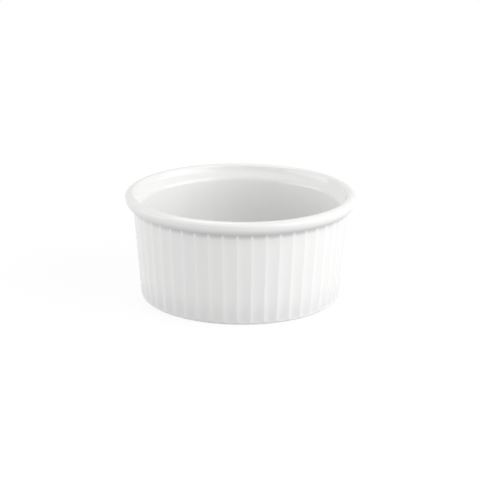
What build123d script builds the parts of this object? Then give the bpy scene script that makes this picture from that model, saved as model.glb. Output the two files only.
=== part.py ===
"""Fluted porcelain ramekin: one fired body, modelled in millimetres.

The origin is the centre of the foot on the table and +Z is the axis of the dish.
The outside is turned, flutes are cut down its wall until they run out above the
lower corner, the rim bead is turned on above them, and the bowl and the foot
recess are cut last. Ridges between flutes lie on the X and Y axes.
"""

from build123d import *
from math import atan, cos, degrees, radians, sin, tan
import os

# Overall sizes
rim_diameter = 92.0
height = 42.7

# Rim bead: how far it stands out over the wall, its reach from the crest circle to the
# widest point, and its rise above and drop below that point
bead_overhang = 3.2
bead_reach = 2.6
bead_rise = 1.6
bead_drop = 3.8

# Outside wall over the ridges: how far it draws in down to the foot, and the lower corner
wall_draw = 3.2
corner_round = 2.0

# Inside of the rim: the crest rolls in to a steep face, and a ledge slopes on down to the
# bowl's wall. Shares of the face and of the ledge go into the cove and the shoulder there.
crest_round = 1.3
face_length = 1.5
face_slope = 78.0
ledge_slope = 48.0
cove_share = 0.6
shoulder_share = 0.3

# Bowl
wall_thickness = 3.5
floor_thickness = 4.0
bowl_round = 6.0

# Foot ring and the shallow recess with a sloping edge inside it
foot_width = 3.0
recess_depth = 1.0
recess_slope = 45.0

# Flutes: each runs out over a short length, just above the lower corner
flute_count = 48
flute_width = 4.5
flute_depth = 0.22
run_out_length = 1.6
plain_band = 0.3

# One overrun lets every cut pass the face that it opens
overrun = 0.4

# Radii, heights and angles of the outside
rim_radius = rim_diameter / 2
neck_radius = rim_radius - bead_overhang
base_radius = neck_radius - wall_draw
crest_radius = rim_radius - bead_reach
bead_height = height - bead_rise
neck_height = bead_height - bead_drop
wall_lean = wall_draw / neck_height
wall_angle = degrees(atan(wall_lean))
foot_radius = base_radius - corner_round * tan(radians((90 - wall_angle) / 2))


def wall_radius(level):
    """Radius over the ridges at a height above the table."""
    return base_radius + wall_lean * level


def bowl_radius(level):
    """Radius of the bowl's wall at a height above the table."""
    return wall_radius(level) - wall_thickness


# The ledge starts at the foot of the steep face and drops to the bowl's wall
face_angle = radians(face_slope)
ledge_radius = crest_radius - crest_round * sin(face_angle) - face_length * cos(face_angle)
ledge_top = height - crest_round * (1 - cos(face_angle)) - face_length * sin(face_angle)
ledge_fall = tan(radians(ledge_slope))
ledge_run = (ledge_radius - bowl_radius(ledge_top)) / (1 - wall_lean * ledge_fall)
ledge_foot = ledge_top - ledge_run * ledge_fall
ledge_length = ledge_run / cos(radians(ledge_slope))
cove_turn = face_slope - ledge_slope
cove_round = cove_share * face_length / tan(radians(cove_turn / 2))
shoulder_turn = 90 - wall_angle - ledge_slope
shoulder_round = shoulder_share * ledge_length / tan(radians(shoulder_turn / 2))

floor_height = recess_depth + floor_thickness
recess_radius = foot_radius - foot_width
recess_run = recess_depth / tan(radians(recess_slope))

# A round cutter of this radius leaves a flute of the wanted width and depth
flute_radius = (flute_width**2 / 4 + flute_depth**2) / (2 * flute_depth)
cutter_half_width = (flute_radius**2 - (flute_radius - flute_depth - overrun) ** 2) ** 0.5
corner_top = corner_round * (1 - sin(radians(wall_angle)))
run_out_height = corner_top + plain_band + run_out_length * cos(radians(wall_angle))
run_out_angle = degrees(atan(flute_depth / run_out_length))


def quarter_turn(start, tangent, along, across):
    """Two tangent arcs that turn left by a quarter, over unequal distances."""
    spread = (along - across) / tan(radians(22.5))
    half_way = JernArc(
        start=start,
        tangent=tangent,
        radius=(along + across + spread) / 2,
        arc_size=45,
    )
    return JernArc(
        start=half_way @ 1,
        tangent=half_way % 1,
        radius=(along + across - spread) / 2,
        arc_size=45,
    )


# Cutter for one flute: straight up the wall, and tilted out of it below the run-out
up_wall = Vector(1, 0, 0).rotate(Axis.Y, wall_angle - 90)
out_of_wall = (-up_wall).rotate(Axis.Y, -run_out_angle)
with BuildPart() as flute_cutter:
    across_wall = Plane(
        origin=(wall_radius(run_out_height), 0, run_out_height),
        x_dir=(0, 1, 0),
        z_dir=up_wall,
    )
    with BuildSketch(across_wall) as flute_section:
        with BuildLine():
            flute_floor = ThreePointArc(
                (-cutter_half_width, -overrun),
                (0, flute_depth),
                (cutter_half_width, -overrun),
            )
            Line(flute_floor @ 1, flute_floor @ 0)
        make_face()
    extrude(amount=neck_height, dir=up_wall)
    extrude(
        flute_section.sketch,
        amount=run_out_length * (1 + overrun / flute_depth),
        dir=out_of_wall,
    )

with BuildPart() as dish:
    # Turned outside of the wall, solid, with a rounded lower corner
    with BuildSketch(Plane.XZ) as wall_profile:
        Polygon(
            (0, 0),
            (base_radius, 0),
            (neck_radius, neck_height),
            (0, neck_height),
            align=None,
        )
        fillet(wall_profile.vertices().group_by(Axis.X)[1], corner_round)
    revolve(axis=Axis.Z)

    # Flutes all round, half a pitch off the axes so that ridges lie on them
    with PolarLocations(0, flute_count, start_angle=180 / flute_count):
        add(flute_cutter.part, mode=Mode.SUBTRACT)

    # Rim bead, fuller below its widest point than above it
    with BuildSketch(Plane.XZ):
        with BuildLine():
            bead_start = (neck_radius, neck_height)
            under_bead = quarter_turn(bead_start, (1, 0), bead_overhang, bead_drop)
            over_bead = quarter_turn(under_bead @ 1, under_bead % 1, bead_rise, bead_reach)
            Polyline(over_bead @ 1, (0, height), (0, neck_height), bead_start)
        make_face()
    revolve(axis=Axis.Z)

    # Bowl: the crest rolls in to a steep face and a ledge, then the wall and the floor
    with BuildSketch(Plane.XZ) as bowl_profile:
        with BuildLine():
            crest = (crest_radius, height)
            crest_roll = JernArc(
                start=crest,
                tangent=(-1, 0),
                radius=crest_round,
                arc_size=face_slope,
            )
            Polyline(
                crest_roll @ 1,
                (ledge_radius, ledge_top),
                (ledge_radius - ledge_run, ledge_foot),
                (bowl_radius(floor_height), floor_height),
                (0, floor_height),
                (0, height + overrun),
                (crest_radius, height + overrun),
                crest,
            )
        make_face()
        for corner, round_radius in (
            ((ledge_radius, ledge_top), cove_round),
            ((ledge_radius - ledge_run, ledge_foot), shoulder_round),
            ((bowl_radius(floor_height), floor_height), bowl_round),
        ):
            fillet(bowl_profile.vertices().sort_by_distance(corner)[0], round_radius)
    revolve(axis=Axis.Z, mode=Mode.SUBTRACT)

    # Shallow recess under the floor, which leaves the foot ring
    with BuildSketch(Plane.XZ):
        Polygon(
            (0, 0),
            (recess_radius, 0),
            (recess_radius - recess_run, recess_depth),
            (0, recess_depth),
            align=None,
        )
    revolve(axis=Axis.Z, mode=Mode.SUBTRACT)

dish.part.label = "dish"

os.makedirs("parts", exist_ok=True)
export_step(dish.part, "parts/dish.step")
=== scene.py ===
"""Fluted porcelain ramekin: its glazed body, a white studio and the photograph's view.

The body is drawn as a profile, turned over the width of one flute, pressed in between
two ridges and copied round the axis. Lengths are metres, in the CAD model's own frame.
"""

import math

import bmesh
import bpy
from mathutils import Matrix, Vector


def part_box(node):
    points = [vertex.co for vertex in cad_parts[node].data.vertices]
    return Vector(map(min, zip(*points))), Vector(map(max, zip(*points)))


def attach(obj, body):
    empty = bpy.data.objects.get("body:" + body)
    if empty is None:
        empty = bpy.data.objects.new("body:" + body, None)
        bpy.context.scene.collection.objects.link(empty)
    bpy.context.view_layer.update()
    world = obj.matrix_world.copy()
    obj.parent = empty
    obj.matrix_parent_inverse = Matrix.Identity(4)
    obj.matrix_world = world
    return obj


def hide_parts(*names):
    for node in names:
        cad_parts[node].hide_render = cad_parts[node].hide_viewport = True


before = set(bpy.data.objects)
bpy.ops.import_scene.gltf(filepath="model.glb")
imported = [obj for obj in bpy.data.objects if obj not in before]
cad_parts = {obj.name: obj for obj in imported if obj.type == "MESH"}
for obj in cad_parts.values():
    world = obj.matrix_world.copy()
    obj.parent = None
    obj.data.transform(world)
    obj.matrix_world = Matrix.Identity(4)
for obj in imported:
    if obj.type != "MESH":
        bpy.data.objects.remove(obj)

bl_info = {
    "name": "Fluted Ramekin",
    "version": (1, 0, 0),
    "blender": (4, 5, 0),
    "location": "View3D > Sidebar > Ramekin",
    "description": "Models a fluted porcelain ramekin and the studio round it",
    "category": "Add Mesh",
}

MM = 0.001
FULL_TURN = 2 * math.pi
QUARTER_TURN = math.pi / 2
EIGHTH_TURN = math.pi / 4

CAD_NODE = "dish"
CAD_BODY = "root"

CAD_LOW, CAD_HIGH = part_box(CAD_NODE)
CAD_RIM_DIAMETER = 2 * CAD_HIGH[0]
CAD_HEIGHT = CAD_HIGH[2] - CAD_LOW[2]

# The profile lies in the XZ plane. A spin turns clockwise about its axis, so the axis
# that the dish is spun about points down.
CENTRE = (0.0, 0.0, 0.0)
PROFILE_AXIS = (0.0, 1.0, 0.0)
SPIN_AXIS = (0.0, 0.0, -1.0)

# Columns of faces across one flute, how near two points count as one or as being at the
# same place, and the digits that the height of a row is rounded to
FLUTE_COLUMNS = 16
MERGE_DISTANCE = 0.004 * MM
SAME_PLACE = 0.01 * MM
LEVEL_DIGITS = 7

# How much of the face above the ledge the cove takes, and of the ledge its shoulder
COVE_SHARE = 0.6
SHOULDER_SHARE = 0.3

# The floor lies this little under the foot ring, so that the two never share a plane
FLOOR_GAP = 0.02 * MM


def length(name, description, value):
    """A length in metres that a user may change."""
    return bpy.props.FloatProperty(
        name=name, description=description, default=value, unit="LENGTH", precision=5
    )


def angle(name, description, degrees):
    """An angle that a user may change."""
    return bpy.props.FloatProperty(
        name=name, description=description, default=math.radians(degrees), subtype="ANGLE"
    )


def colour(name, description, value):
    """A colour that a user may change."""
    return bpy.props.FloatVectorProperty(
        name=name, description=description, default=value, size=3, min=0, max=1, subtype="COLOR"
    )


def amount(name, description, value):
    """A plain number that a user may change."""
    return bpy.props.FloatProperty(name=name, description=description, default=value, precision=4)


class RamekinSizes(bpy.types.PropertyGroup):
    """Sizes of the dish, with the rim and the height taken from the CAD model."""

    rim_diameter: length("Rim diameter", "Widest point of the bead", CAD_RIM_DIAMETER)
    height: length("Height", "From the table to the crest of the rim", CAD_HEIGHT)

    bead_overhang: length("Bead overhang", "How far the bead stands out over the wall", 3.2 * MM)
    bead_reach: length("Bead reach", "From the crest circle to the widest point", 2.6 * MM)
    bead_rise: length("Bead rise", "From the widest point up to the crest", 1.6 * MM)
    bead_drop: length("Bead drop", "From the widest point down to the underside", 3.8 * MM)
    neck_round: length("Neck round", "Glaze that fills the crease under the bead", 0.55 * MM)

    wall_draw: length("Wall draw", "How far the wall draws in down to the foot", 3.2 * MM)
    corner_round: length("Corner round", "Radius of the lower corner", 2.0 * MM)
    wall_thickness: length("Wall thickness", "Between the bowl and the ridges", 3.5 * MM)
    floor_thickness: length("Floor thickness", "Between the bowl and the recess", 4.0 * MM)

    crest_round: length("Crest round", "Radius over which the crest rolls in", 1.3 * MM)
    inner_face: length("Inner face", "Slope between the crest and the ledge", 1.5 * MM)
    face_slope: angle("Inner face slope", "Fall of the face under the crest", 78)
    ledge_slope: angle("Ledge slope", "Fall of the ledge inside the rim", 48)
    bowl_round: length("Bowl round", "Radius between the wall and the floor", 6.0 * MM)

    foot_width: length("Foot width", "Width of the bare ring that the dish stands on", 3.0 * MM)
    foot_edge: length("Foot edge", "Rounding of the foot ring's inner edge", 0.4 * MM)
    recess_depth: length("Recess depth", "Hollow inside the foot ring", 1.0 * MM)

    flute_count: bpy.props.IntProperty(
        name="Flutes", description="Number of flutes round the wall", default=48, min=3
    )
    flute_neck_depth: length("Flute depth at the neck", "Depth under the bead", 0.13 * MM)
    flute_foot_depth: length("Flute depth at the foot", "Depth over the lower corner", 0.29 * MM)
    flute_fade: length("Flute fade", "How softly a flute ends in the lower corner", 0.1 * MM)
    ridge_round: length("Ridge round", "Radius of the glazed ridges", 1.2 * MM)


class RamekinGlaze(bpy.types.PropertyGroup):
    """Colours and finish of the glaze and of the bare foot, and of the painted shade and light on
    the glaze.
    """

    glaze: colour("Glaze", "White of the porcelain under its clear glaze", (0.8, 0.8, 0.79))
    # Glaze that pools in the flutes, also painted shade down in the bowl
    pooled_and_shade: colour("Pooled glaze", "Where the glaze lies thick", (0.765, 0.775, 0.775))
    # Painted shade in the crease under the bead and low on the wall
    painted_shade: colour("Gathered glaze", "Thickest, in the crease under the bead", (0.61, 0.62, 0.62))
    # Thinner glaze with a painted highlight on the ridges, and painted light on the foot's edge
    thin_and_lit: colour("Thin glaze", "Where the glaze is drawn thin", (0.85, 0.845, 0.83))
    bare: colour("Bare clay", "The unglazed foot ring", (0.8, 0.775, 0.73))
    gloss: amount("Glaze roughness", "Roughness of the fired glaze", 0.16)
    bare_roughness: amount("Bare roughness", "Roughness of the unglazed ring", 0.62)
    # Reach of the painted shade in the crease, down a flute and up the bead
    crease_shade_reach: length("Crease reach", "How far gathered glaze runs down a flute", 2.4 * MM)
    crease_shade_climb: length("Crease climb", "How far gathered glaze runs up the bead", 3.2 * MM)
    # Reach of the painted shade low on the wall, up from the foot
    low_shade_reach: length("Foot reach", "How far up the wall the glaze thickens", 12 * MM)
    # Height up to which painted shade darkens the bowl
    bowl_shade_reach: length("Bowl reach", "Height up to which the glaze is thick in the bowl", 38 * MM)
    mottle_size: length("Mottle size", "Size of the faint cloudy patches", 14 * MM)
    wave_size: length("Wave size", "Size of the slow waves in the glaze", 9 * MM)
    wave_height: length("Wave height", "Height of the slow waves in the glaze", 0.012 * MM)
    peel_size: length("Peel size", "Size of the fine ripple in the glaze", 1.3 * MM)
    peel_height: length("Peel height", "Height of the fine ripple in the glaze", 0.0007 * MM)
    grain_size: length("Grain size", "Grain of the bare clay", 0.35 * MM)
    grain_height: length("Grain height", "Relief of the bare clay", 0.012 * MM)


class RamekinStudio(bpy.types.PropertyGroup):
    """Floor, light and camera."""

    floor_size: length("Floor size", "Side of the white floor", 24.0)
    floor_colour: colour("Floor colour", "White paper, as the camera sees it", (1.0, 1.0, 1.0))
    floor_bounce: colour("Floor bounce", "The paper's colour in the light it sends up", (0.65,) * 3)
    floor_fibre: colour("Floor fibre", "Colour of the paper's fibres", (0.9,) * 3)
    fibre_size: length("Fibre size", "Size of the paper's fibres", 2 * MM)
    fibre_strength: amount("Fibre strength", "How much the paper's fibres show", 0.01)
    floor_shadow: amount("Floor shadow", "Share of real shading that the floor shows", 0.12)
    shadow_full: length("Full shadow", "Up to where the floor's shading is full", 0.2)
    shadow_reach: length("Shadow reach", "Where the floor's shading has faded out", 0.6)
    sky: amount("Sky strength", "Even light from all round", 0.788)
    box_height: length("Softbox height", "Height of each softbox", 0.42)
    box_distance: length("Softbox distance", "From the middle of the dish to each softbox", 1.0)
    lens: bpy.props.FloatProperty(
        name="Lens", description="Focal length in mm on a 36 mm sensor", default=143.61
    )
    near_clip: length("Near clip", "Nearest distance that the camera sees", 0.01)
    far_clip: length("Far clip", "Farthest distance that the camera sees", 60.0)
    view_distance: length("View distance", "From the camera to the point it looks at", 0.7667)
    view_elevation: angle("View elevation", "Height of the camera over the dish", 16.93)
    view_azimuth: angle("View azimuth", "Turn of the camera from the front towards +X", 1.5)
    view_roll: angle("View roll", "Tilt of the camera about its own axis", 0.447)
    view_height: length("View height", "Height of the point it looks at", 22.44 * MM)
    view_side: length("View side", "How far right of the axis the camera stands", -0.18 * MM)


def turned(direction, turn):
    """A direction in the profile's plane, turned left by an angle."""
    across, up = direction
    return (
        across * math.cos(turn) - up * math.sin(turn),
        across * math.sin(turn) + up * math.cos(turn),
    )


class ProfilePen:
    """Draws a turned profile in edit mode: straight runs by extrusion, rounds by spins."""

    def __init__(self, name, across, up):
        bpy.ops.object.select_all(action="DESELECT")
        bpy.ops.mesh.primitive_plane_add(size=MM, location=CENTRE)
        self.piece = bpy.context.object
        self.piece.name = name
        self.piece.data.name = name
        bpy.ops.object.mode_set(mode="EDIT")
        bpy.ops.mesh.select_all(action="SELECT")
        bpy.ops.mesh.merge(type="CENTER")
        bpy.ops.transform.translate(value=(across, 0, up))
        self.place = (across, up)

    def line_to(self, across, up, rows=1):
        """Run straight to a place, in equal rows."""
        step = ((across - self.place[0]) / rows, 0, (up - self.place[1]) / rows)
        for _ in range(rows):
            bpy.ops.mesh.extrude_vertices_move(TRANSFORM_OT_translate={"value": step})
        self.place = (across, up)

    def arc(self, heading, radius, turn, rows):
        """Turn from a heading by an angle, to the left if it is positive."""
        to_middle = turned(heading, math.copysign(QUARTER_TURN, turn))
        middle = (
            self.place[0] + radius * to_middle[0],
            self.place[1] + radius * to_middle[1],
        )
        bpy.ops.mesh.spin(
            steps=rows, angle=turn, center=(middle[0], 0, middle[1]), axis=PROFILE_AXIS
        )
        start = (self.place[0] - middle[0], self.place[1] - middle[1])
        end = turned(start, turn)
        self.place = (middle[0] + end[0], middle[1] + end[1])
        return turned(heading, turn)

    def quarter(self, heading, along, across, rows):
        """Two tangent arcs that turn left by a quarter, over unequal distances."""
        spread = (along - across) / math.tan(EIGHTH_TURN / 2)
        halfway = self.arc(heading, (along + across + spread) / 2, EIGHTH_TURN, rows)
        return self.arc(halfway, (along + across - spread) / 2, EIGHTH_TURN, rows)


class Outline:
    """Radii, heights and angles that follow from the sizes."""

    def __init__(self, sizes):
        self.rim_radius = sizes.rim_diameter / 2
        self.crest_radius = self.rim_radius - sizes.bead_reach
        self.neck_radius = self.rim_radius - sizes.bead_overhang
        self.base_radius = self.neck_radius - sizes.wall_draw
        self.neck_height = sizes.height - sizes.bead_rise - sizes.bead_drop
        self.lean = sizes.wall_draw / self.neck_height
        self.wall_angle = math.atan(self.lean)
        self.corner_turn = QUARTER_TURN - self.wall_angle
        self.corner_top = sizes.corner_round * (1 - math.sin(self.wall_angle))
        self.foot_radius = self.base_radius - sizes.corner_round * math.tan(self.corner_turn / 2)
        self.recess_radius = self.foot_radius - sizes.foot_width
        self.bowl_at_table = self.base_radius - sizes.wall_thickness
        self.floor_height = sizes.recess_depth + sizes.floor_thickness
        self.pitch_turn = FULL_TURN / sizes.flute_count

        # Steep face under the crest, and the ledge that slopes on down to the bowl's wall
        face_in = sizes.inner_face * math.cos(sizes.face_slope)
        face_down = sizes.inner_face * math.sin(sizes.face_slope)
        roll_in = sizes.crest_round * math.sin(sizes.face_slope)
        roll_down = sizes.crest_round * (1 - math.cos(sizes.face_slope))
        self.ledge_radius = self.crest_radius - roll_in - face_in
        self.ledge_top = sizes.height - roll_down - face_down
        fall = math.tan(sizes.ledge_slope)
        gap = self.ledge_radius - self.bowl_radius(self.ledge_top)
        self.ledge_run = gap / (1 - self.lean * fall)
        self.ledge_foot = self.ledge_top - self.ledge_run * fall

    def wall_radius(self, level):
        """Radius over the ridges at a height."""
        return self.base_radius + self.lean * level

    def bowl_radius(self, level):
        """Radius of the bowl's wall at a height."""
        return self.bowl_at_table + self.lean * level

    def inset(self, place):
        """How far in from the ridges a place lies."""
        return self.wall_radius(place.z) - math.hypot(place.x, place.y)


def draw_profile(sizes, outline):
    """Draw the whole section of the dish, from under its middle to the middle of its floor."""
    out = (1, 0)

    # The recess's edge slopes by an eighth of a turn, so it runs in as far as it rises
    recess_slope = EIGHTH_TURN
    recess_edge = outline.recess_radius - sizes.recess_depth
    edge_trim = sizes.foot_edge * math.tan(recess_slope / 2)
    edge_rise = edge_trim * math.cos(recess_slope)

    # Under the floor, out over the recess and down to the bare ring
    pen = ProfilePen("ramekin_body", 0, sizes.recess_depth)
    pen.line_to(recess_edge - edge_trim, sizes.recess_depth, rows=3)
    heading = pen.arc(out, sizes.foot_edge, -recess_slope, rows=2)
    pen.line_to(outline.recess_radius - edge_rise, edge_rise)
    pen.arc(heading, sizes.foot_edge, recess_slope, rows=2)
    pen.line_to(outline.foot_radius, 0)

    # Lower corner, in short rows where the flutes end, and the wall
    lower_turn = outline.corner_turn / 2
    heading = pen.arc(out, sizes.corner_round, lower_turn, rows=4)
    heading = pen.arc(heading, sizes.corner_round, outline.corner_turn - lower_turn, rows=12)
    neck_trim = sizes.neck_round * math.tan(outline.corner_turn / 2)
    neck_start = outline.neck_height - neck_trim * math.cos(outline.wall_angle)
    pen.line_to(outline.wall_radius(neck_start), neck_start, rows=8)

    # Crease under the bead, the bead, and the crest that rolls in
    pen.arc(heading, sizes.neck_round, -outline.corner_turn, rows=4)
    heading = pen.quarter(out, sizes.bead_overhang - neck_trim, sizes.bead_drop, rows=7)
    heading = pen.quarter(heading, sizes.bead_rise, sizes.bead_reach, rows=7)
    heading = pen.arc(heading, sizes.crest_round, sizes.face_slope, rows=9)

    # Cove, ledge and shoulder inside the rim
    cove_trim = COVE_SHARE * sizes.inner_face
    cove_turn = sizes.face_slope - sizes.ledge_slope
    cove_round = cove_trim / math.tan(cove_turn / 2)
    shoulder_trim = SHOULDER_SHARE * outline.ledge_run / math.cos(sizes.ledge_slope)
    shoulder_turn = QUARTER_TURN - outline.wall_angle - sizes.ledge_slope
    shoulder_round = shoulder_trim / math.tan(shoulder_turn / 2)
    pen.line_to(
        outline.ledge_radius + cove_trim * math.cos(sizes.face_slope),
        outline.ledge_top + cove_trim * math.sin(sizes.face_slope),
    )
    heading = pen.arc(heading, cove_round, -cove_turn, rows=7)
    pen.line_to(
        outline.ledge_radius - outline.ledge_run + shoulder_trim * math.cos(sizes.ledge_slope),
        outline.ledge_foot + shoulder_trim * math.sin(sizes.ledge_slope),
    )
    heading = pen.arc(heading, shoulder_round, shoulder_turn, rows=7)

    # Bowl: wall, round and floor
    bowl_turn = QUARTER_TURN - outline.wall_angle
    bowl_trim = sizes.bowl_round * math.tan(bowl_turn / 2)
    bowl_start = outline.floor_height + bowl_trim * math.cos(outline.wall_angle)
    pen.line_to(outline.bowl_radius(bowl_start), bowl_start, rows=6)
    pen.arc(heading, sizes.bowl_round, -bowl_turn, rows=12)
    pen.line_to(0, outline.floor_height, rows=5)
    return pen.piece, neck_start


def select_points(piece, wanted):
    """Select the points of a mesh in edit mode that a test picks."""
    shape = bmesh.from_edit_mesh(piece.data)
    for edge in shape.edges:
        edge.select = False
    for point in shape.verts:
        point.select = wanted(point.co)
    shape.select_flush(False)
    bmesh.update_edit_mesh(piece.data)


def flute_section(pitch, full_depth, ridge_round, across):
    """Depth under the ridges, at a distance from the middle of a flute."""
    half = pitch / 2
    both_radii = (half**2 + full_depth**2) / (2 * full_depth)
    hollow = both_radii - ridge_round
    if abs(across) < half * hollow / both_radii:
        return full_depth - hollow + math.sqrt(hollow**2 - across**2)
    from_ridge = half - abs(across)
    return ridge_round - math.sqrt(ridge_round**2 - from_ridge**2)


def blended_gap(gap, blend):
    """A gap, or nothing where it would be negative, with a soft step between the two."""
    if blend <= 0:
        return max(gap, 0)
    share = min(max(0.5 + gap / (2 * blend), 0), 1)
    return gap * share + blend * share * (1 - share)


def wall_rows(piece, outline, deepest):
    """The rows of points that the flutes can reach, by height, and how far in each lies."""
    rows = {}
    shape = bmesh.from_edit_mesh(piece.data)
    for point in shape.verts:
        level, inset = point.co.z, outline.inset(point.co)
        if SAME_PLACE < level < outline.neck_height - SAME_PLACE and inset < deepest:
            rows[round(level, LEVEL_DIGITS)] = inset
    return sorted(rows.items())


def on_wall_row(outline, level, radius, turns, deepest):
    """A test for the points of one row of the wall that lie at some turns about the axis."""

    def picked(place):
        turn = math.atan2(place.y, place.x)
        near = min(abs(turn - wanted) for wanted in turns) * radius
        same_level = abs(place.z - level) < SAME_PLACE / 2
        return near < SAME_PLACE and same_level and outline.inset(place) < deepest

    return picked


def press_flute(piece, sizes, outline, neck_start):
    """Press the wall in between two ridges, down to where the lower corner rounds away."""
    deepest = sizes.flute_foot_depth + sizes.flute_fade
    for level, inset in wall_rows(piece, outline, deepest):
        share = min((outline.neck_height - level) / (outline.neck_height - neck_start), 1)
        radius = outline.wall_radius(level) - inset
        pitch = outline.pitch_turn * radius
        rise = level / outline.neck_height
        full_depth = sizes.flute_foot_depth * (1 - rise) + sizes.flute_neck_depth * rise
        below_ridges = max(inset, 0)

        # A flute is the same on both sides of its middle, so its columns go in by twos
        for column in range(1, FLUTE_COLUMNS // 2 + 1):
            across = pitch * (column / FLUTE_COLUMNS - 0.5)
            depth = share * flute_section(pitch, full_depth, sizes.ridge_round, across)
            pressed = blended_gap(depth - below_ridges, min(sizes.flute_fade, below_ridges))
            both_sides = (column, FLUTE_COLUMNS - column)
            turns = [outline.pitch_turn * side / FLUTE_COLUMNS for side in both_sides]
            select_points(piece, on_wall_row(outline, level, radius, turns, deepest))
            shrink = 1 - pressed / radius
            bpy.ops.transform.resize(value=(shrink, shrink, 1), center_override=CENTRE)


class Number:
    """A number that varies over a surface, on which sums are written as usual."""

    def __init__(self, maker, socket):
        self.maker = maker
        self.socket = socket

    def __add__(self, other):
        return self.maker.maths("ADD", self, other)

    __radd__ = __add__

    def __sub__(self, other):
        return self.maker.maths("SUBTRACT", self, other)

    def __rsub__(self, other):
        return self.maker.maths("SUBTRACT", other, self)

    def __mul__(self, other):
        return self.maker.maths("MULTIPLY", self, other)

    __rmul__ = __mul__

    def __truediv__(self, other):
        return self.maker.maths("DIVIDE", self, other)

    def __pow__(self, other):
        return self.maker.maths("POWER", self, other)

    def rise(self, low, high):
        """Nothing below one value, all above another, and smooth between them."""
        made = self.maker.node(
            "ShaderNodeMapRange",
            {"interpolation_type": "SMOOTHSTEP", "clamp": True},
            {"Value": self, "From Min": low, "From Max": high, "To Min": 0.0, "To Max": 1.0},
        )
        return Number(self.maker, made.outputs["Result"])


# The colour sockets of a Mix node, which share their names with its other sockets
MIX_FIRST, MIX_SECOND, MIX_RESULT = 6, 7, 2


class Finish:
    """A material's nodes, each made with its settings first and its inputs after them."""

    def __init__(self, name, tree=None):
        if tree is None:
            self.material = bpy.data.materials.new(name)
            self.material.use_nodes = True
            tree = self.material.node_tree
        self.tree = tree
        self.tree.nodes.clear()

    def node(self, kind, settings=None, inputs=None):
        """A node of a kind, with its settings, and a value or a link for each input named."""
        made = self.tree.nodes.new(kind)
        for setting, value in (settings or {}).items():
            setattr(made, setting, value)
        for place, value in (inputs or {}).items():
            if isinstance(value, Number):
                value = value.socket
            if isinstance(value, bpy.types.NodeSocket):
                self.tree.links.new(value, made.inputs[place])
            else:
                made.inputs[place].default_value = value
        return made

    def maths(self, operation, first, second=0.0, clamp=False):
        """One operation on numbers, of which one or both vary over the surface."""
        settings = {"operation": operation, "use_clamp": clamp}
        return Number(self, self.node("ShaderNodeMath", settings, {0: first, 1: second}).outputs[0])

    def where(self):
        """The place on the piece, and how far it lies along each of the three axes."""
        place = self.node("ShaderNodeTexCoord").outputs["Object"]
        parts = self.node("ShaderNodeSeparateXYZ", None, {0: place}).outputs
        return place, [Number(self, part) for part in parts]

    def noise(self, place, size, detail):
        """Cloudy variation with patches of a size in metres."""
        inputs = {"Vector": place, "Scale": 1 / size, "Detail": detail}
        return Number(self, self.node("ShaderNodeTexNoise", None, inputs).outputs[0])

    def mix(self, share, first, second):
        """One colour that goes over to another."""
        inputs = {"Factor": share, MIX_FIRST: first, MIX_SECOND: second}
        return self.node("ShaderNodeMix", {"data_type": "RGBA"}, inputs).outputs[MIX_RESULT]

    def bump(self, height, distance, under=None):
        """Relief of a height in metres, over another relief if there is one."""
        inputs = {"Height": height, "Distance": distance, "Strength": 1.0}
        if under is not None:
            inputs["Normal"] = under
        return self.node("ShaderNodeBump", None, inputs).outputs["Normal"]


def opaque(value):
    """A colour with full cover."""
    return (*value, 1.0)


def from_axis(across, along):
    """How far out from the axis of the dish a place is."""
    return (across * across + along * along) ** 0.5


# Where the colour's regions start and end: how far in from the ridges
OUTSIDE_ENDS = (1.2 * MM, 1.8 * MM)
BOWL_STARTS = (2.4 * MM, 3.0 * MM)

# Heights over the neck
WALL_ENDS = (-0.2 * MM, 0.0)
BEAD_SHADE_FADES = 0.3 * MM

# Heights over the table, and the bare ring's fade across its inner edge
WALL_STARTS = 0.5 * MM
LOW_WALL_STARTS = (0.6 * MM, 2.4 * MM)
LOW_WALL_FADES = 2.0 * MM
BOWL_SHADE_FADES = 24 * MM
FOOT_EDGE_ENDS = (0.3 * MM, 0.9 * MM)
RING_ENDS = (0.08 * MM, 0.2 * MM)
RING_FADE = 0.3 * MM

# Shares of the way from a flute's middle to a ridge, and down the reach of the crease's painted
# shade
RIDGE_LINE = (0.85, 1.0)
CREASE_FADE = (0.25, 1.0)

# On a ridge the crease's painted shade is this much shorter and fainter
RIDGE_SHORTER = 0.35
RIDGE_FAINTER = 0.6

# How much a region takes of the colours for glaze that pools, for painted shade, and for thinner
# glaze with painted light
FLUTE_POOLED = 0.55
BOWL_SHADE = 0.25
CLOUDS_POOLED = 0.5
LOW_FLUTE_SHADE = 0.36
LOW_RIDGE_LESS = 0.16
RIDGE_THIN_AND_HIGHLIGHT = 0.5

# Middle of a noise, how far the clouds change the roughness, and the clay's darker grain
NOISE_MIDDLE = 0.5
CLOUDS_ROUGHNESS = 0.05
GRAIN_SPAN = (0.3, 0.7)
DARK_GRAIN = 0.94
GLAZE_IOR = 1.52


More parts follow.
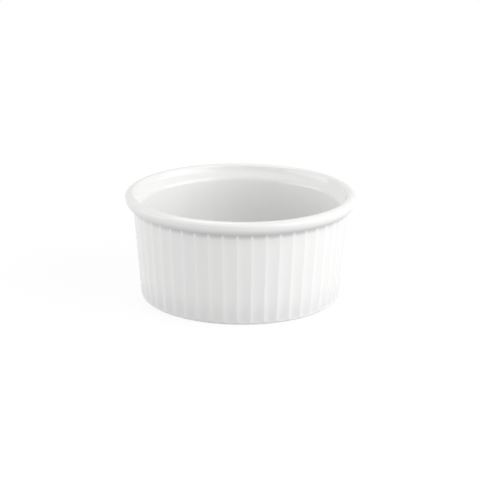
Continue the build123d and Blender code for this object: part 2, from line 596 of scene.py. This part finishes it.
class ToneRegions:
    """Where the dish's colour changes, from the glaze and from painted shade and light, each region
    a number from nothing to all.
    """

    def __init__(self, make, look, sizes, outline):
        self.place, (across, along, level) = make.where()
        radius = from_axis(across, along)
        inset = outline.base_radius + level * outline.lean - radius
        outside = 1 - inset.rise(*OUTSIDE_ENDS)
        over_neck = level - outline.neck_height
        under_neck = 1 - over_neck.rise(*WALL_ENDS)

        # The wall, whose ridges count from nothing in a flute's middle to all on their crest
        turn = make.maths("ARCTAN2", along, across)
        cosine = make.maths("COSINE", turn * float(sizes.flute_count))
        self.ridge = cosine * 0.5 + 0.5
        self.ridge_line = self.ridge.rise(*RIDGE_LINE) * under_neck
        self.wall = level.rise(WALL_STARTS, outline.corner_top) * outside * under_neck

        # Painted shade in the crease under the bead, which reaches further down the flutes
        reach = look.crease_shade_reach * (1 - self.ridge_line * RIDGE_SHORTER)
        down = (0 - over_neck) / reach
        crease = (1 - down.rise(*CREASE_FADE)) * (1 - self.ridge_line * RIDGE_FAINTER) * outside
        self.crease = crease * (1 - over_neck.rise(BEAD_SHADE_FADES, look.crease_shade_climb))

        # Painted shade low on the wall above the lower corner, and down in the bowl
        low = level.rise(*LOW_WALL_STARTS) * (1 - level.rise(LOW_WALL_FADES, look.low_shade_reach))
        self.low_wall = outside * low
        self.bowl = inset.rise(*BOWL_STARTS) * (1 - level.rise(BOWL_SHADE_FADES, look.bowl_shade_reach))

        # Painted light on the edge over the foot, and the bare ring
        self.foot_edge = outside * (1 - level.rise(*FOOT_EDGE_ENDS))
        on_ring = radius.rise(outline.recess_radius - RING_FADE, outline.recess_radius)
        self.ring = on_ring * (1 - level.rise(*RING_ENDS))


def make_glaze(look, sizes, outline):
    """Clear glossy glaze over white porcelain, bare and satin on the foot ring."""
    make = Finish("white_glaze")
    on = ToneRegions(make, look, sizes, outline)
    clouds = make.noise(on.place, look.mottle_size, detail=3.0) - NOISE_MIDDLE
    grain = make.noise(on.place, look.grain_size, detail=4.0)

    # Colour: glaze pools in the flutes, painted shade in the bowl, crease and low wall, thinner
    # glaze and painted highlight on ridges, painted light on the foot's edge
    in_flutes = on.wall * (1 - on.ridge) * FLUTE_POOLED
    # Glaze that pools in the flutes, painted shade in the bowl, and a faint cloudy tone
    pooled_and_shade = in_flutes + on.bowl * BOWL_SHADE + clouds * CLOUDS_POOLED
    tone = make.mix(pooled_and_shade, opaque(look.glaze), opaque(look.pooled_and_shade))
    # Thinner glaze with a painted highlight along the ridges, and painted light on the foot's edge
    thin_and_lit = make.maths("MAXIMUM", on.wall * on.ridge_line * RIDGE_THIN_AND_HIGHLIGHT, on.foot_edge)
    tone = make.mix(thin_and_lit, tone, opaque(look.thin_and_lit))
    # Painted shade in the crease under the bead and low on the wall
    low_shade = on.low_wall * (LOW_FLUTE_SHADE - on.ridge * LOW_RIDGE_LESS)
    tone = make.mix(make.maths("MAXIMUM", on.crease, low_shade), tone, opaque(look.painted_shade))
    dark_clay = opaque(part * DARK_GRAIN for part in look.bare)
    clay = make.mix(grain.rise(*GRAIN_SPAN), opaque(look.bare), dark_clay)
    tone = make.mix(on.ring, tone, clay)

    # Relief: slow waves and a fine ripple in the glaze, and the grain of the bare clay
    waves = make.noise(on.place, look.wave_size, detail=1.0)
    peel = make.noise(on.place, look.peel_size, detail=2.0)
    relief = make.bump(waves, look.wave_height)
    relief = make.bump(peel, look.peel_height, relief)
    relief = make.bump(grain * on.ring, look.grain_height, relief)

    glossy = look.gloss + clouds * CLOUDS_ROUGHNESS
    roughness = glossy * (1 - on.ring) + on.ring * look.bare_roughness
    inputs = {"Base Color": tone, "Roughness": roughness, "Normal": relief, "IOR": GLAZE_IOR}
    shader = make.node("ShaderNodeBsdfPrincipled", None, inputs)
    make.node("ShaderNodeOutputMaterial", None, {"Surface": shader.outputs[0]})
    return make.material


class RAMEKIN_OT_body(bpy.types.Operator):
    """Model the glazed body with its rim bead, flutes, bowl and foot"""

    bl_idname = "ramekin.body"
    bl_label = "Glazed Body"

    def execute(self, context):
        sizes = context.scene.ramekin_sizes
        outline = Outline(sizes)
        piece, neck_start = draw_profile(sizes, outline)
        turn, copies = outline.pitch_turn, sizes.flute_count - 1

        # Turn the profile over one pitch, press the flute in, and copy the pitch round
        bpy.ops.mesh.select_all(action="SELECT")
        bpy.ops.mesh.spin(steps=FLUTE_COLUMNS, angle=turn, center=CENTRE, axis=SPIN_AXIS)
        press_flute(piece, sizes, outline, neck_start)
        bpy.ops.mesh.select_all(action="SELECT")
        bpy.ops.mesh.spin(
            steps=copies, dupli=True, angle=copies * turn, center=CENTRE, axis=SPIN_AXIS
        )
        bpy.ops.mesh.select_all(action="SELECT")
        bpy.ops.mesh.remove_doubles(threshold=MERGE_DISTANCE)
        bpy.ops.mesh.normals_make_consistent(inside=False)
        bpy.ops.object.mode_set(mode="OBJECT")
        bpy.ops.object.shade_smooth()

        piece.data.materials.clear()
        piece.data.materials.append(make_glaze(context.scene.ramekin_glaze, sizes, outline))
        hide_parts(CAD_NODE)
        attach(piece, CAD_BODY)
        return {"FINISHED"}


# Softboxes: degrees from +X towards +Y, degrees up as seen from the middle of the dish,
# width in metres, and power in watts
SOFTBOXES = {
    "key_low": (-29, 10, 0.8, 2.7),
    "key_high": (-30, 38, 0.8, 2.8),
    "side_right": (0, 18, 0.5, 1.8),
    "side_left": (-170, 12, 1.2, 3.8),
    "top_left": (120, 65, 0.5, 1.58),
}

# Span over which the noise goes over to the paper's fibres
FIBRE_SPAN = (0.2, 0.8)


def offset_towards(azimuth, elevation, distance):
    """The way to a place, by its angle from +X towards +Y, its angle upwards and its distance."""
    level = distance * math.cos(elevation)
    return Vector(
        (level * math.cos(azimuth), level * math.sin(azimuth), distance * math.sin(elevation))
    )


class RAMEKIN_OT_studio(bpy.types.Operator):
    """Set up the white floor, the soft light and the camera"""

    bl_idname = "ramekin.studio"
    bl_label = "White Studio"

    def execute(self, context):
        look = context.scene.ramekin_studio
        self.make_floor(look)
        self.make_sky(context.scene, look)
        for name, values in SOFTBOXES.items():
            self.add_softbox(context.scene, look, name, *values)
        self.place_camera(context.scene, look)
        return {"FINISHED"}

    def seen_plain(self, make):
        """Whether the camera, a reflection or a refraction looks at it."""
        path = make.node("ShaderNodeLightPath").outputs
        seen = Number(make, path["Is Camera Ray"]) + Number(make, path["Is Glossy Ray"])
        return make.maths("ADD", seen, Number(make, path["Is Transmission Ray"]), clamp=True)

    def make_floor(self, look):
        """Lay white paper that keeps a share of its shading near the dish."""
        bpy.ops.object.select_all(action="DESELECT")
        bpy.ops.mesh.primitive_plane_add(size=look.floor_size, location=(0, 0, -FLOOR_GAP))
        floor = bpy.context.object
        floor.name = "studio_floor"
        make = Finish("white_paper")
        place, parts = make.where()
        far = from_axis(*parts[:2]).rise(look.shadow_full, look.shadow_reach)
        fibre = make.noise(place, look.fibre_size, detail=2.0).rise(*FIBRE_SPAN)
        faces_camera = make.node("ShaderNodeLightPath").outputs["Is Camera Ray"]
        paper = make.mix(faces_camera, opaque(look.floor_bounce), opaque(look.floor_colour))
        paper = make.mix(fibre * look.fibre_strength, paper, opaque(look.floor_fibre))
        plain = {"Base Color": paper, "Roughness": 1.0, "Specular IOR Level": 0.0}
        matt = make.node("ShaderNodeBsdfPrincipled", None, plain).outputs[0]
        white = make.node("ShaderNodeEmission", None, {"Strength": 1.0}).outputs[0]
        seen = self.seen_plain(make) * (1 - (1 - far) * look.floor_shadow)
        surface = make.node("ShaderNodeMixShader", None, {0: seen, 1: matt, 2: white}).outputs[0]
        make.node("ShaderNodeOutputMaterial", None, {"Surface": surface})
        floor.data.materials.append(make.material)

    def make_sky(self, scene, look):
        """Light the dish evenly from all round, and show plain white behind it."""
        world = bpy.data.worlds.new("white_sky")
        world.use_nodes = True
        scene.world = world
        make = Finish("white_sky", world.node_tree)
        seen = self.seen_plain(make)
        strength = seen + (1 - seen) * look.sky
        sky = make.node("ShaderNodeBackground", None, {"Strength": strength}).outputs[0]
        make.node("ShaderNodeOutputWorld", None, {"Surface": sky})

    def add_softbox(self, scene, look, name, azimuth, elevation, width, power):
        """Stand a softbox round the dish, facing its middle."""
        lamp = bpy.data.lights.new(name, "AREA")
        lamp.shape = "RECTANGLE"
        lamp.size = width
        lamp.size_y = look.box_height
        lamp.energy = power
        box = bpy.data.objects.new(name, lamp)
        scene.collection.objects.link(box)
        away = offset_towards(math.radians(azimuth), math.radians(elevation), look.box_distance)
        box.location = away + Vector((0, 0, look.view_height))
        box.rotation_euler = away.to_track_quat("Z", "Y").to_euler()

    def place_camera(self, scene, look):
        """Stand the camera where the photograph was taken from."""
        lens = bpy.data.cameras.new("photo_view")
        lens.lens = look.lens
        lens.clip_start = look.near_clip
        lens.clip_end = look.far_clip
        camera = bpy.data.objects.new("photo_view", lens)
        scene.collection.objects.link(camera)
        azimuth = look.view_azimuth - QUARTER_TURN
        away = offset_towards(azimuth, look.view_elevation, look.view_distance)
        stand = Matrix.Translation(away + Vector((0, 0, look.view_height)))
        facing = away.to_track_quat("Z", "Y").to_matrix().to_4x4()
        roll = Matrix.Rotation(look.view_roll, 4, "Z")
        camera.matrix_world = stand @ facing @ roll @ Matrix.Translation((look.view_side, 0, 0))
        scene.camera = camera


class RAMEKIN_PT_workshop(bpy.types.Panel):
    """The ramekin's pieces, sizes and looks"""

    bl_label = "Fluted Ramekin"
    bl_idname = "RAMEKIN_PT_workshop"
    bl_space_type = "VIEW_3D"
    bl_region_type = "UI"
    bl_category = "Ramekin"

    def draw(self, context):
        scene = context.scene
        column = self.layout.column()
        for operator, groups in (
            (RAMEKIN_OT_body, (scene.ramekin_sizes, scene.ramekin_glaze)),
            (RAMEKIN_OT_studio, (scene.ramekin_studio,)),
        ):
            column.operator(operator.bl_idname)
            for group in groups:
                for value in group.bl_rna.properties:
                    if value.identifier not in ("rna_type", "name"):
                        column.prop(group, value.identifier)


GROUPS = {
    "ramekin_sizes": RamekinSizes,
    "ramekin_glaze": RamekinGlaze,
    "ramekin_studio": RamekinStudio,
}
CLASSES = (*GROUPS.values(), RAMEKIN_OT_body, RAMEKIN_OT_studio, RAMEKIN_PT_workshop)


def register():
    for entry in CLASSES:
        bpy.utils.register_class(entry)
    for name, group in GROUPS.items():
        setattr(bpy.types.Scene, name, bpy.props.PointerProperty(type=group))


def unregister():
    for name in GROUPS:
        delattr(bpy.types.Scene, name)
    for entry in reversed(CLASSES):
        bpy.utils.unregister_class(entry)


def main():
    """Build the dish and its studio."""
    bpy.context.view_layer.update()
    register()
    bpy.context.scene.view_settings.view_transform = "Standard"
    bpy.ops.ramekin.body()
    bpy.ops.ramekin.studio()


if __name__ == "__main__":
    main()
